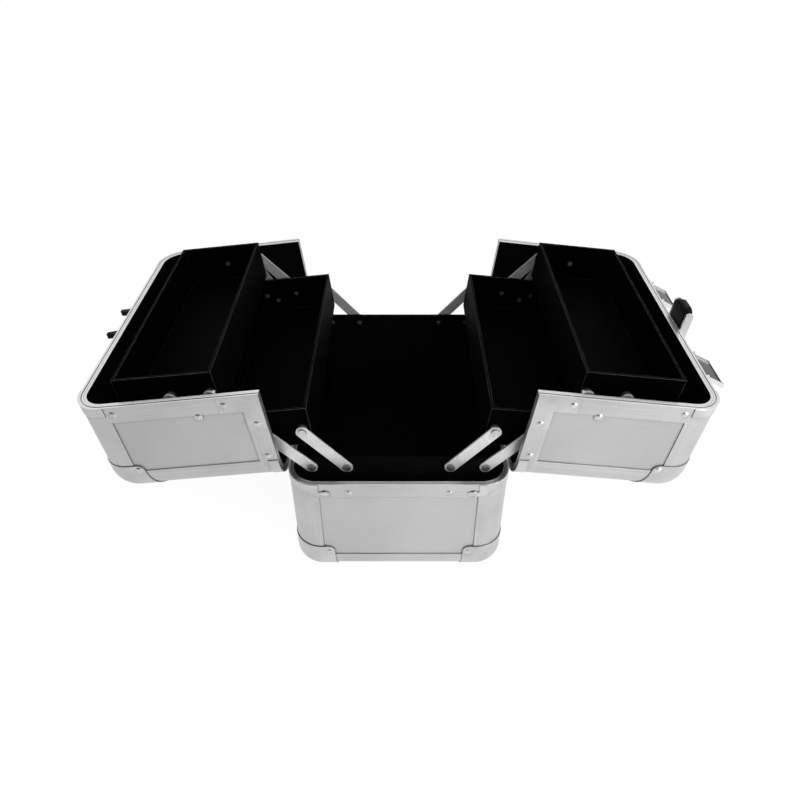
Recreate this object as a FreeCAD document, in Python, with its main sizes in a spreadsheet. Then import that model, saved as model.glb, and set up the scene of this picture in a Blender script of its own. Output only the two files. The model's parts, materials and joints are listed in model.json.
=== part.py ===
import FreeCAD, Part
import math
import os

# Makeup train case: a base, two half lids that open to the sides, and four trays on link bars.
# X runs across the case, Y from the front end to the back end, Z up; millimetres.
# The origin is on the ground under the middle of the base. The rest pose is the open case.

doc = FreeCAD.newDocument("TrainCase")
sheet = doc.addObject("Spreadsheet::Sheet", "Sizes")
V = FreeCAD.Vector

DRIVING_SIZES = [
    # outer case
    ("case_width", 240), ("case_length", 336), ("base_top", 144), ("lid_height", 186.4), ("seam_gap", 0.6),
    ("post_radius", 31), ("bottom_radius", 22), ("top_radius", 30), ("rail_height", 28),
    # wall build-up from outside to inside
    ("skin", 1.2), ("panel", 4), ("lining", 2.8), ("wing", 34), ("strip", 19), ("flange", 2.5),
    ("lining_drop", 0.4), ("groove_in", 2.1), ("groove_out", 3.3), ("groove_deep", 0.9), ("crown_rise", 36),
    # chrome trim
    ("cap_skin", 1), ("lid_cap_reach", 59), ("base_cap_reach", 50), ("cap_shoulder", 46), ("cap_height", 42),
    ("cap_flare", 8),
    ("cap_under", 4), ("cap_bend", 1.6), ("cap_crown", 1.7), ("cap_clear", 2),
    ("bracket_skin", 0.8), ("bracket_height", 11), ("bracket_tab", 46), ("bracket_tab_height", 17),
    ("plate_leg", 42), ("bracket_over", 3), ("tab_start", 24),
    # hinges
    ("hinge_out", 0.8), ("hinge_up", 1.9), ("knuckle_radius", 2.8), ("pin_radius", 1.5), ("pin_slack", 0.05),
    ("leaf", 1.2), ("leaf_height", 17), ("hinge_length", 54), ("hinge_end", 72), ("knuckle_gap", 0.4),
    ("pocket_room", 0.6), ("leaf_gap", 0.4),
    ("lid_open", 96.5),
    # trays and the boards that carry them
    ("link_pocket", 18), ("tray_length", "=case_length - 2 * (skin + panel + lining + link_pocket)"),
    ("tray_width", 100), ("tray_height", 48), ("tray_wall", 2.6), ("tray_tilt", 6),
    ("lower_inner", 48.4), ("lower_top", 22.5), ("upper_inner", 5.9), ("upper_top", 24),
    ("board", 5), ("board_gap", 8), ("board_width", "=case_width - 2 * (skin + panel + lining + board_gap)"),
    ("board_rise", 17), ("board_top", "=base_top + board_rise"), ("board_round", 11), ("cleat", 3),
    ("cleat_drop", 6), ("drill_over", 1),
    # link bars
    ("arm_pitch", 67), ("arm_wide", 13), ("arm_thick", 2), ("arm_lean", 43.7), ("foot_inset", 10.5),
    ("arm_foot_x", "=board_width / 2 - foot_inset"), ("foot_drop", 9.5),
    ("arm_foot_z", "=board_top - foot_drop"),
    ("foot_spacing", 37.8), ("short_foot_x", "=arm_foot_x - foot_spacing"), ("short_head_x", 40.3),
    ("short_head_z", -3.1), ("upper_spacing", 40), ("link_seam", 21.732492), ("link_up", 62.990150),
    ("link_in", "=case_width / 2 + hinge_out - link_seam"),
    ("link_lid_x", "=case_width / 2 + hinge_out - link_in * cos(lid_open) + link_up * sin(lid_open)"),
    ("link_lid_z", "=base_top + hinge_up + link_in * sin(lid_open) + link_up * cos(lid_open)"),
    ("link_tray_x", -26.4), ("link_tray_z", -8.2), ("bar_air", 0.25), ("link_layer", 11),
    ("short_length", "=sqrt((short_foot_x - arm_foot_x - arm_pitch * sin(arm_lean)"
                     " + short_head_x * cos(tray_tilt) - short_head_z * sin(tray_tilt))^2"
                     " + (arm_pitch * cos(arm_lean) + short_head_x * sin(tray_tilt)"
                     " + short_head_z * cos(tray_tilt))^2)"),
    ("link_length", "=sqrt((link_lid_x - arm_foot_x - arm_pitch * sin(arm_lean)"
                    " + link_tray_x * cos(tray_tilt) - link_tray_z * sin(tray_tilt))^2"
                    " + (arm_foot_z - link_lid_z + arm_pitch * cos(arm_lean) + link_tray_x * sin(tray_tilt)"
                    " + link_tray_z * cos(tray_tilt))^2)"),
    # rivets
    ("shank", 2.4), ("shank_slack", 0.06), ("head", 4.4), ("inner_head", 3.1), ("head_high", 1.5),
    ("shoulder", 5.6), ("tall_shoulder", 4.6), ("open_slack_short", 0.7), ("open_slack_link", 1.3),
    ("trim_rivet", 4.2), ("tab_rivet", 4), ("trim_rivet_high", 1.4), ("strip_rivet_x", 54),
    ("strip_rivet_drop", 13), ("cap_rivet_up", 33), ("rivet_edge", 6), ("lid_rivet_inset", 40),
    # latches: a flap on the right lid snaps over a keeper on the left lid
    ("latch_offset", 78), ("latch_width", 46), ("latch_long", 34), ("latch_plate", 1.6), ("latch_inset", 3),
    ("cheek", 2), ("cheek_half", 5), ("cheek_over", 3), ("flap_axis_in", 8), ("flap_axis_up", 6),
    ("flap_long", 24), ("flap_thick", 3), ("flap_side", 1.5), ("flap_side_deep", 5), ("flap_air", 0.4),
    ("flap_rest", 20), ("barrel_radius", 3), ("flap_pin", 1.45), ("flap_bore", 1.5), ("curl_radius", 2.2),
    ("keeper_wide", 42), ("keeper_long", 14), ("keeper_inset", 2.7), ("keeper_foot", 1.4),
    ("stud_wide", 30), ("stud_inset", 4), ("stud_long", 5.5), ("stud_high", 4),
    # handle: a broad grip between two side plates, folded flat across the seam
    ("handle_inset", 30), ("handle_axis_up", 7), ("handle_pin", 2.5), ("handle_air", 0.4),
    ("grip_long", 34), ("grip_near", 21), ("grip_far", 52), ("grip_thick", 10), ("grip_corner", 10),
    ("grip_round", 3.5), ("side_plate", 2.5), ("side_plate_wide", 9), ("side_plate_far", 49),
    ("ear_thick", 6), ("ear_high", 12), ("ear_long", 22), ("stub_long", 5.5),
    # catch on the left lid: a moulded strip with two horns, between which the grip lies when the case is shut
    ("catch_long", 54), ("catch_wide", 12), ("catch_inset", 2), ("catch_high", 1.5), ("horn_high", 13),
    ("horn_long", 6.5), ("horn_lean", 2),
]


def fill_sheet():
    for row, (alias, value) in enumerate(DRIVING_SIZES, start=1):
        sheet.set("A%d" % row, alias)
        sheet.set("B%d" % row, str(value))
        sheet.setAlias("B%d" % row, alias)
    doc.recompute()


def size(alias):
    return float(sheet.get(alias))


fill_sheet()
HALF_W = size("case_width") / 2
HALF_L = size("case_length") / 2
GROUND = size("cap_skin")
BASE_TOP = size("base_top")
LID_LOW = BASE_TOP + size("seam_gap")
LID_TOP = LID_LOW + size("lid_height")
SEAM = size("seam_gap") / 2
SKIN = size("skin")
WALL = SKIN + size("panel")
INSIDE = WALL + size("lining")
FLANGE = size("flange")
STRIP = size("strip")
WING = size("wing")
BIG = 1000.0
NEAR = 0.1
TOUCH = 0.01
FACE_DEPTH = 1.0
HINGE = V(-HALF_W - size("hinge_out"), 0, BASE_TOP + size("hinge_up"))
SIDES = {"left": 1, "right": -1}
ENDS = (-1, 1)
nodes = []


# Helpers for solids

def block(x0, x1, y0, y1, z0, z1):
    return Part.makeBox(x1 - x0, y1 - y0, z1 - z0, V(x0, y0, z0))


def feature(name, shape):
    piece = doc.addObject("Part::Feature", name)
    piece.Shape = shape
    return piece


def bound_box(name, lengths, corner):
    piece = doc.addObject("Part::Box", name)
    for prop, expression in zip(("Length", "Width", "Height"), lengths):
        piece.setExpression(prop, expression)
    for axis, expression in zip("xyz", corner):
        piece.setExpression("Placement.Base." + axis, expression)
    return piece


def bound_cylinder(name, radius, height, base, axis=V(0, 1, 0)):
    piece = doc.addObject("Part::Cylinder", name)
    piece.setExpression("Radius", radius)
    piece.setExpression("Height", height)
    piece.Placement = FreeCAD.Placement(V(), FreeCAD.Rotation(V(0, 0, 1), axis))
    for letter, expression in zip("xyz", base):
        piece.setExpression("Placement.Base." + letter, expression)
    return piece


def fuse(name, pieces):
    piece = doc.addObject("Part::MultiFuse", name)
    piece.Shapes = pieces
    return piece


def cut(name, body, tool):
    piece = doc.addObject("Part::Cut", name)
    piece.Base = body
    piece.Tool = tool
    return piece


def node(name, pieces, pose=FreeCAD.Placement()):
    group = doc.addObject("Part::Compound", name)
    group.Label = name
    group.Links = pieces
    group.Placement = pose
    nodes.append(group)
    return group


def solids_of(shape):
    return [solid for solid in shape.Solids if solid.Volume > 1.0]


def mirrored(shape, side):
    if side == 1:
        return shape
    return shape.mirror(V(), V(1, 0, 0))


def turn_about(point, degrees, side):
    """Pose that turns about a line along Y; positive opens the left side outwards."""
    centre = V(point.x * side, point.y, point.z)
    return FreeCAD.Placement(V(), FreeCAD.Rotation(V(0, -1, 0), degrees * side), centre)


def across(centre, half, radius, x, z):
    """Cylinder along Y about a centre."""
    return Part.makeCylinder(radius, 2 * half, V(x, centre - half, z), V(0, 1, 0))


def rivet(layers, foot):
    """Turned rivet along +Y from foot; layers is a list of (radius, start, end)."""
    parts = [Part.makeCylinder(r, b - a, foot + V(0, a, 0), V(0, 1, 0)) for r, a, b in layers]
    return parts[0].multiFuse(parts[1:]).removeSplitter() if len(parts) > 1 else parts[0]


def domed_head(centre, axis, radius, height):
    ball = (radius * radius + height * height) / (2 * height)
    slope = math.asin(radius / ball) / 2
    rim, top = V(radius, 0, 0), V(0, 0, height)
    middle = V(ball * math.sin(slope), 0, height - ball + ball * math.cos(slope))
    outline = [Part.makeLine(V(), rim), Part.Arc(rim, middle, top).toShape(), Part.makeLine(top, V())]
    dome = Part.Face(Part.Wire(outline)).revolve(V(), V(0, 0, 1), 360)
    dome.Placement = FreeCAD.Placement(centre, FreeCAD.Rotation(V(0, 0, 1), axis))
    return dome


def face_rivets(points, axis, radius="trim_rivet"):
    return [domed_head(point, axis, size(radius), size("trim_rivet_high")) for point in points]


# Outer envelopes of the base and of a lid, shrunk by an inset

def base_envelope(inset):
    low = GROUND + inset
    shape = block(-HALF_W + inset, HALF_W - inset, -HALF_L + inset, HALF_L - inset, low, BASE_TOP)
    middle = (low + BASE_TOP) / 2
    posts = [edge for edge in shape.Edges if abs(edge.CenterOfMass.z - middle) < NEAR]
    shape = shape.makeFillet(size("post_radius") - inset, posts)
    floor = [edge for edge in shape.Edges if abs(edge.BoundBox.ZMax - low) < TOUCH]
    return shape.makeFillet(size("bottom_radius") - inset, floor)


def lid_envelope(inset):
    high = LID_TOP - inset
    outer = -HALF_W + inset
    shape = block(outer, -SEAM, -HALF_L + inset, HALF_L - inset, LID_LOW, high)
    middle = (LID_LOW + high) / 2
    posts = [edge for edge in shape.Edges
             if abs(edge.CenterOfMass.z - middle) < NEAR and abs(edge.CenterOfMass.x - outer) < NEAR]
    shape = shape.makeFillet(size("post_radius") - inset, posts)
    crown = [edge for edge in shape.Edges
             if abs(edge.BoundBox.ZMin - high) < TOUCH and edge.BoundBox.XMin < -SEAM - NEAR]
    return shape.makeFillet(size("top_radius") - inset, crown)


def cap_profile(reach):
    """Long prism with the ogee outline of a corner cap: u away from the corner, v along the post."""
    shoulder = size("cap_shoulder")
    high, flare = size("cap_height"), size("cap_flare")
    below = -size("cap_under")
    bend_in, crown_out = size("cap_bend"), size("cap_crown")
    slope = (reach - shoulder) / 2
    points = [V(below, below, 0), V(reach, below, 0), V(reach, FACE_DEPTH, 0),
              V(shoulder + slope / 2, flare + slope, 0), V(shoulder, high - flare, 0),
              V(shoulder - flare, high, 0), V(flare, high, 0), V(below, high + flare, 0)]
    bend = (points[2] + points[3]) * 0.5 - V(slope, slope, 0) * (bend_in / flare)
    crown = (points[4] + points[5]) * 0.5 + V(crown_out, crown_out, 0)
    edges = [Part.makeLine(points[0], points[1]), Part.makeLine(points[1], points[2]),
             Part.Arc(points[2], bend, points[3]).toShape(), Part.makeLine(points[3], points[4]),
             Part.Arc(points[4], crown, points[5]).toShape(), Part.makeLine(points[5], points[6]),
             Part.makeLine(points[6], points[7]), Part.makeLine(points[7], points[0])]
    return Part.Face(Part.Wire(edges)).extrude(V(0, 0, 2 * BIG))


def cap_zone(reach):
    """Space of a corner cap with its corner at the origin and its flat edge across the Z direction."""
    front = cap_profile(reach)
    front.rotate(V(), V(1, 0, 0), 90)
    front.translate(V(0, BIG, 0))
    side = cap_profile(size("base_cap_reach"))
    side.rotate(V(), V(1, 0, 0), 90)
    side.rotate(V(), V(0, 0, 1), 90)
    side.translate(V(-BIG, 0, 0))
    return front.common(side)


# Base: boards, rounded edge profiles, rim, chrome corners and caps

def base_boards():
    half_w, half_l = "Sizes.case_width / 2", "Sizes.case_length / 2"
    rise = "Sizes.base_top - Sizes.flange - Sizes.bottom_radius - Sizes.cap_skin"
    low = "Sizes.bottom_radius + Sizes.cap_skin"
    flat_x = "Sizes.case_width - 2 * Sizes.post_radius"
    flat_y = "Sizes.case_length - 2 * Sizes.post_radius"
    boards = []
    for end in ENDS:
        y = "%s - Sizes.skin - Sizes.panel" % half_l if end == 1 else "Sizes.skin - %s" % half_l
        boards.append(bound_box("end_board", (flat_x, "Sizes.panel", rise),
                                ("Sizes.post_radius - %s" % half_w, y, low)))
        x = "%s - Sizes.skin - Sizes.panel" % half_w if end == 1 else "Sizes.skin - %s" % half_w
        boards.append(bound_box("side_board", ("Sizes.panel", flat_y, rise),
                                (x, "Sizes.post_radius - %s" % half_l, low)))
    node("base_panels", boards)
    board = bound_box("floor_board", ("Sizes.case_width - 2 * Sizes.bottom_radius",
                                      "Sizes.case_length - 2 * Sizes.bottom_radius", "Sizes.panel"),
                      ("Sizes.bottom_radius - %s" % half_w, "Sizes.bottom_radius - %s" % half_l,
                       "Sizes.skin + Sizes.cap_skin"))
    edge = "Sizes.base_cap_reach + Sizes.cap_clear"
    rest = bound_box("floor_rest", ("Sizes.case_width - 2 * (%s)" % edge,
                                    "Sizes.case_length - 2 * (%s)" % edge, "Sizes.skin + Sizes.cap_skin"),
                     ("%s - %s" % (edge, half_w), "%s - %s" % (edge, half_l), "0"))
    fitted = cut("floor_fitted", board, feature("skin_room", base_envelope(0).cut(base_envelope(SKIN))))
    node("base_floor_panel", [fuse("floor_panel_body", [fitted, rest])])


def base_metalwork():
    skin = base_envelope(0).cut(base_envelope(SKIN))
    below_strip = block(-BIG, BIG, -BIG, BIG, -BIG, BASE_TOP - STRIP)
    mid_x = block(-HALF_W + WING, HALF_W - WING, -BIG, BIG, -BIG, BIG)
    mid_y = block(-BIG, BIG, -HALF_L + WING, HALF_L - WING, -BIG, BIG)
    inner_floor = block(-HALF_W + WING, HALF_W - WING, -HALF_L + WING, HALF_L - WING, -BIG, BIG)
    posts = skin.common(below_strip).cut(mid_x).cut(mid_y)
    node("base_corner_posts", [feature("corner_post", solid) for solid in solids_of(posts)])
    low_band = block(-BIG, BIG, -BIG, BIG, -BIG, GROUND + size("rail_height"))
    corner_zone = block(-BIG, BIG, -BIG, BIG, -BIG, BIG).cut(mid_x).cut(mid_y)
    rails = skin.common(low_band).cut(inner_floor).cut(corner_zone)
    node("base_bottom_rails", [feature("bottom_rail", solid) for solid in solids_of(rails)])
    strip = skin.cut(below_strip)
    ledge = base_envelope(0).cut(base_envelope(WALL)).common(
        block(-BIG, BIG, -BIG, BIG, BASE_TOP - FLANGE, BIG))
    groove = base_envelope(size("groove_in")).cut(base_envelope(size("groove_out"))).common(
        block(-BIG, BIG, -BIG, BIG, BASE_TOP - size("groove_deep"), BIG))
    rim = strip.fuse(ledge).cut(groove)
    for side in SIDES.values():
        rim = rim.cut(hinge_pocket(side))
    node("base_rim", [feature("base_rim_profile", rim.removeSplitter())])
    base_chrome()


def base_chrome():
    over = base_envelope(-size("bracket_skin")).cut(base_envelope(0))
    reach = size("post_radius") + size("bracket_over")
    band = block(-BIG, BIG, -BIG, BIG, BASE_TOP - size("bracket_height"), BASE_TOP)
    tab_band = block(-BIG, BIG, -BIG, BIG, BASE_TOP - size("bracket_tab_height"),
                     BASE_TOP - size("bracket_height") + TOUCH)
    brackets = []
    caps = []
    cap_shell = base_envelope(-size("cap_skin")).cut(base_envelope(0))
    for sx in ENDS:
        for sy in ENDS:
            corner = block(-BIG, -HALF_W + reach, -BIG, -HALF_L + reach, -BIG, BIG)
            tab = block(-BIG, -HALF_W + size("bracket_tab"), -BIG, -HALF_L + FACE_DEPTH, -BIG, BIG)
            tab = tab.cut(block(-BIG, -HALF_W + size("tab_start"), -BIG, BIG, -BIG, BIG))
            piece = over.common(corner).common(band).fuse(over.common(tab).common(tab_band))
            brackets.append(flip(piece.removeSplitter(), sx, sy))
            caps.append(flip(cap_shell.common(base_cap_zone()), sx, sy))
    node("base_rim_corners", [feature("rim_corner", piece) for piece in brackets])
    node("base_corner_caps", [feature("corner_cap", piece) for piece in caps])


def flip(shape, sx, sy):
    if sx == 1:
        shape = shape.mirror(V(), V(1, 0, 0))
    if sy == 1:
        shape = shape.mirror(V(), V(0, 1, 0))
    return shape


def base_cap_zone():
    """Space that holds the cap at the left front corner of the base."""
    zone = cap_zone(size("base_cap_reach"))
    zone.translate(V(-HALF_W, -HALF_L, GROUND))
    return zone


def base_lining():
    shell = base_envelope(WALL).cut(base_envelope(INSIDE))
    shell = shell.common(block(-BIG, BIG, -BIG, BIG, -BIG, BASE_TOP - size("lining_drop")))
    node("base_lining", [feature("base_lining_shell", shell)])


def pivot_boards():
    """Two lined boards that stand on the floor near the ends and carry the link bars."""
    floor = "Sizes.cap_skin + Sizes.skin + Sizes.panel + Sizes.lining"
    rise = "Sizes.board_top - (%s)" % floor
    cleat_rise = "Sizes.base_top - Sizes.flange - Sizes.cleat_drop - (%s)" % floor
    pocket = "Sizes.case_length / 2 - Sizes.skin - Sizes.panel - Sizes.lining" \
             " - Sizes.tray_length / 2 - Sizes.board"
    lining_room = block(-BIG, BIG, -BIG, BIG, -BIG, BASE_TOP).cut(base_envelope(INSIDE + size("shank_slack")))
    boards = []
    for end in ENDS:
        y = "Sizes.tray_length / 2" if end == 1 else "-Sizes.tray_length / 2 - Sizes.board"
        plate = bound_box("board_plate", ("Sizes.board_width", "Sizes.board", rise),
                          ("-Sizes.board_width / 2", y, floor))
        doc.recompute()
        rounded = doc.addObject("Part::Fillet", "board_rounded")
        rounded.Base = plate
        rounded.Edges = [(index + 1, size("board_round"), size("board_round"))
                         for index, edge in enumerate(plate.Shape.Edges)
                         if abs(edge.CenterOfMass.z - size("board_top")) < NEAR
                         and abs(abs(edge.CenterOfMass.x) - size("board_width") / 2) < NEAR]
        pieces = [rounded]
        for hand in ENDS:
            x = "Sizes.board_width / 2 - Sizes.cleat" if hand == 1 else "-Sizes.board_width / 2"
            start = "Sizes.tray_length / 2 + Sizes.board" if end == 1 else \
                "-Sizes.tray_length / 2 - Sizes.board - (%s)" % pocket
            pieces.append(bound_box("cleat", ("Sizes.cleat", pocket, cleat_rise), (x, start, floor)))
        drilled = fuse("pivot_board_blank", pieces)
        for foot in ("Sizes.arm_foot_x", "Sizes.short_foot_x"):
            for hand in ("", "-"):
                hole = bound_cylinder("pivot_hole", "Sizes.shank + Sizes.shank_slack",
                                      "Sizes.board + 2 * Sizes.drill_over",
                                      (hand + foot, y + " - Sizes.drill_over", "Sizes.arm_foot_z"))
                drilled = cut("drilled_board", drilled, hole)
        boards.append(cut("fitted_board", drilled, feature("lining_room", lining_room)))
    node("pivot_boards", boards)


# Lids, drawn closed on the left and mirrored to the right, then opened about the hinge

def lid_pose(side):
    return turn_about(HINGE, size("lid_open"), side)


def lid_boards(hand, side):
    inner = "Sizes.seam_gap / 2 + Sizes.flange"
    low = "Sizes.base_top + Sizes.seam_gap + Sizes.flange"
    top = "Sizes.base_top + Sizes.seam_gap + Sizes.lid_height"
    rise = "Sizes.lid_height - Sizes.flange - Sizes.top_radius"
    wide = "Sizes.case_width / 2 - Sizes.post_radius - (%s)" % inner
    flat_y = "Sizes.case_length - 2 * Sizes.post_radius"
    boards = []

    def add_board(lengths, near, y, z):
        x = near if side == -1 else "-(%s) - (%s)" % (near, lengths[0])
        boards.append(bound_box("lid_board", lengths, (x, y, z)))

    add_board((wide, flat_y, "Sizes.panel"), inner, "Sizes.post_radius - Sizes.case_length / 2",
              "%s - Sizes.skin - Sizes.panel" % top)
    add_board(("Sizes.panel", flat_y, rise), "Sizes.case_width / 2 - Sizes.skin - Sizes.panel",
              "Sizes.post_radius - Sizes.case_length / 2", low)
    for end in ENDS:
        y = "Sizes.case_length / 2 - Sizes.skin - Sizes.panel" if end == 1 else \
            "Sizes.skin - Sizes.case_length / 2"
        add_board((wide, "Sizes.panel", rise), inner, y, low)
    top_board, side_board, front_board, back_board = boards
    pieces = [top_board, cut("pocketed_lid_board", side_board, feature("hinge_room", hinge_pocket(side)))]
    for board in (front_board, back_board):
        pieces.append(cut("drilled_lid_board", board, feature("link_hole", link_hole(side))))
    node(hand + "_lid_panels", pieces, lid_pose(side))


def link_hole(side):
    """Hole for the lid link's post through both end walls of a closed lid."""
    local = lid_pose(side).inverse().multVec(V(-side * size("link_lid_x"), 0, size("link_lid_z")))
    return across(0, BIG, size("shank") + size("shank_slack"), local.x, local.z)


def lid_metalwork(hand, side):
    pose = lid_pose(side)
    skin = lid_envelope(0).cut(lid_envelope(SKIN))
    seam_strip = block(-SEAM - STRIP, BIG, -BIG, BIG, -BIG, BIG)
    low_strip = block(-BIG, BIG, -BIG, BIG, -BIG, LID_LOW + STRIP)
    field = skin.cut(seam_strip).cut(low_strip)
    ends = block(-BIG, BIG, -BIG, BIG, -BIG, BIG).cut(
        block(-BIG, BIG, -HALF_L + WING, HALF_L - WING, -BIG, BIG))
    outer = block(-BIG, -HALF_W + WING, -BIG, BIG, -BIG, BIG)
    crown = block(-BIG, BIG, -BIG, BIG, LID_TOP - size("crown_rise"), BIG)
    posts = field.common(ends).common(outer)
    long_rail = field.cut(ends).common(outer).common(crown)
    end_rails = field.common(ends).cut(outer).common(crown)
    rails = solids_of(posts) + solids_of(long_rail) + solids_of(end_rails)
    node(hand + "_lid_edge_rails", [feature("edge_rail", mirrored(s, side)) for s in rails], pose)
    ledge = lid_envelope(0).cut(lid_envelope(WALL)).common(mouth_band(FLANGE))
    groove = lid_envelope(size("groove_in")).cut(lid_envelope(size("groove_out")))
    rim = skin.common(seam_strip.fuse(low_strip)).fuse(ledge)
    rim = rim.cut(groove.common(mouth_band(size("groove_deep"))))
    rim = mirrored(rim.removeSplitter(), side).cut(hinge_pocket(side))
    node(hand + "_lid_rim", [feature("lid_rim_profile", rim)], pose)
    lid_chrome(hand, side)


def mouth_band(depth):
    """Space along the two open sides of a closed left lid, to a depth."""
    seam_side = block(-SEAM - depth, BIG, -BIG, BIG, -BIG, BIG)
    return seam_side.fuse(block(-BIG, BIG, -BIG, BIG, -BIG, LID_LOW + depth))


def lid_chrome(hand, side):
    pose = lid_pose(side)
    over = lid_envelope(-size("bracket_skin")).cut(lid_envelope(0))
    over = over.common(block(-BIG, -SEAM, -BIG, BIG, LID_LOW, BIG))
    reach = size("post_radius") + size("bracket_over")
    crown_reach = size("top_radius") + size("bracket_over")
    brackets = []
    plates = []
    caps = []
    cap_shell = lid_envelope(-size("cap_skin")).cut(lid_envelope(0))
    for end in ENDS:
        near_end = block(-BIG, BIG, -BIG, -HALF_L + reach, -BIG, BIG)
        low = over.common(near_end).common(block(-BIG, -HALF_W + reach, -BIG, BIG, -BIG,
                                                 LID_LOW + size("bracket_height")))
        high = over.common(block(-SEAM - size("bracket_height"), BIG, -BIG, -HALF_L + crown_reach,
                                 LID_TOP - crown_reach, BIG))
        brackets += [flip(low, -1, end), flip(high, -1, end)]
        leg = size("plate_leg")
        face = over.common(block(-SEAM - leg, BIG, -BIG, -HALF_L + FACE_DEPTH, -BIG, LID_LOW + leg))
        face = face.cut(block(-BIG, -SEAM - STRIP, -BIG, BIG, LID_LOW + STRIP, BIG))
        plates.append(flip(face, -1, end))
        caps.append(flip(cap_shell.common(lid_cap_zone()), -1, end))
    node(hand + "_lid_rim_corners", [feature("lid_rim_corner", mirrored(s, side)) for s in brackets], pose)
    node(hand + "_lid_corner_plates", [feature("corner_plate", mirrored(s, side)) for s in plates], pose)
    node(hand + "_lid_corner_caps", [feature("lid_corner_cap", mirrored(s, side)) for s in caps], pose)


def lid_cap_zone():
    """Space of a lid's cap at the left front top corner of the closed case, its flat edge across X."""
    zone = cap_zone(size("lid_cap_reach")).mirror(V(), V(1, 0, -1)).mirror(V(), V(0, 0, 1))
    zone.translate(V(-HALF_W, -HALF_L, LID_TOP))
    return zone


def lid_lining(hand, side):
    shell = lid_envelope(WALL).cut(lid_envelope(INSIDE)).cut(mouth_band(size("lining_drop")))
    shell = mirrored(shell, side).cut(link_hole(side))
    node(hand + "_lid_lining", [feature("lid_lining_shell", shell)], lid_pose(side))


# Hinges along the long edges: leaves outside, knuckles in pockets of the rims

def hinge_centres():
    return [end * (HALF_L - size("hinge_end")) for end in ENDS]


def hinge_pocket(side):
    room = size("knuckle_radius") + size("pocket_room")
    half = size("hinge_length") / 2 + size("pocket_room")
    front, back = [across(y, half, room, HINGE.x * side, HINGE.z) for y in hinge_centres()]
    return front.fuse(back)


def knuckle(centre, start, end, radius):
    return across(centre + (start + end) / 2, (end - start) / 2, radius, HINGE.x, HINGE.z)


def hinge_leaf(centre, spans, low, high):
    half = size("hinge_length") / 2
    face = -HALF_W - size("leaf")
    pieces = [block(face, -HALF_W, centre - half, centre + half, low, high)]
    bores = []
    for start, end in spans:
        pieces.append(block(face, -HALF_W, centre + start, centre + end,
                            min(low, HINGE.z), max(high, HINGE.z)))
        pieces.append(knuckle(centre, start, end, size("knuckle_radius")))
        bores.append(knuckle(centre, start, end, size("pin_radius") + size("pin_slack")))
    leaf = pieces[0].multiFuse(pieces[1:])
    for bore in bores:
        leaf = leaf.cut(bore)
    return leaf.removeSplitter()


def hinges(hand, side):
    half = size("hinge_length") / 2
    sixth = size("hinge_length") / 6
    gap = size("knuckle_gap") / 2
    outer_spans = [(-half, -sixth - gap), (sixth + gap, half)]
    middle_span = [(gap - sixth, sixth - gap)]
    clear = size("knuckle_radius") + size("leaf_gap")
    tall = size("leaf_height")
    base_leaves, lid_leaves, pins = [], [], []
    for y in hinge_centres():
        base_leaves.append(hinge_leaf(y, outer_spans, HINGE.z - clear - tall, HINGE.z - clear))
        lid_leaves.append(hinge_leaf(y, middle_span, HINGE.z + clear, HINGE.z + clear + tall))
        pins.append(knuckle(y, -half, half, size("pin_radius")))
    pose = lid_pose(side)
    node(hand + "_hinge_base_leaves", [feature("base_leaf", mirrored(s, side)) for s in base_leaves])
    node(hand + "_hinge_lid_leaves", [feature("lid_leaf", mirrored(s, side)) for s in lid_leaves], pose)
    node(hand + "_hinge_pins", [feature("hinge_pin", mirrored(s, side)) for s in pins])


# Trays and the link bars that carry them

def arm_tip(steps):
    """Rest place of a pivot on the left long arm, that many pitches up from its foot."""
    lean = math.radians(size("arm_lean"))
    return V(-size("arm_foot_x") - steps * size("arm_pitch") * math.sin(lean), 0,
             size("arm_foot_z") + steps * size("arm_pitch") * math.cos(lean))


def tray_pose(side, steps):
    tip = arm_tip(steps)
    turn = FreeCAD.Rotation(V(0, -1, 0), size("tray_tilt") * side)
    return FreeCAD.Placement(V(tip.x * side, 0, tip.z), turn)


def lower_pivots():
    return {"long": V(0, 0, 0), "short": V(size("short_head_x"), 0, size("short_head_z")),
            "upper": V(-size("upper_spacing"), 0, 0), "link": V(size("link_tray_x"), 0, size("link_tray_z"))}


def upper_pivots():
    return {"long": V(0, 0, 0), "upper": V(-size("upper_spacing"), 0, 0)}


def tray(name, side, steps, inner, top, pivots):
    x = "%s - Sizes.tray_width" % inner if side == 1 else "-(%s)" % inner
    floor = "%s - Sizes.tray_height" % top
    outer = bound_box("tray_outer", ("Sizes.tray_width", "Sizes.tray_length", "Sizes.tray_height"),
                      (x, "-Sizes.tray_length / 2", floor))
    room = bound_box("tray_room", ("Sizes.tray_width - 2 * Sizes.tray_wall",
                                   "Sizes.tray_length - 2 * Sizes.tray_wall", "Sizes.tray_height"),
                     (x + " + Sizes.tray_wall", "Sizes.tray_wall - Sizes.tray_length / 2",
                      floor + " + Sizes.tray_wall"))
    body = cut(name + "_box", outer, room)
    for pivot in pivots.values():
        hole = across(0, BIG, size("shank") + size("shank_slack"), side * pivot.x, pivot.z)
        body = cut(name + "_drilled", body, feature("tray_hole", hole))
    node(name, [body], tray_pose(side, steps))


def shoulder_rivet(wall_face, wall, near, thick, shoulder):
    """Rivet through a wall and a bar, along +Y from the wall's outer face."""
    high = size("head_high")
    air = size("bar_air")
    return rivet([(size("inner_head"), -wall - high, -wall), (size("shank"), -wall, near),
                  (shoulder, 0, near - air), (size("shank"), near - air, near + thick + air),
                  (size("head"), near + thick + air, near + thick + air + high)], V(0, wall_face, 0))


def both_ends(shape, x, z):
    """Copies of an end piece drawn at the back end, at both ends of the case."""
    back = shape.copy()
    back.translate(V(x, 0, z))
    return [back, back.mirror(V(), V(0, 1, 0))]


def bar_near():
    """Distance of the bars from the trays' end walls."""
    return size("board") + 2 * size("bar_air")


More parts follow.
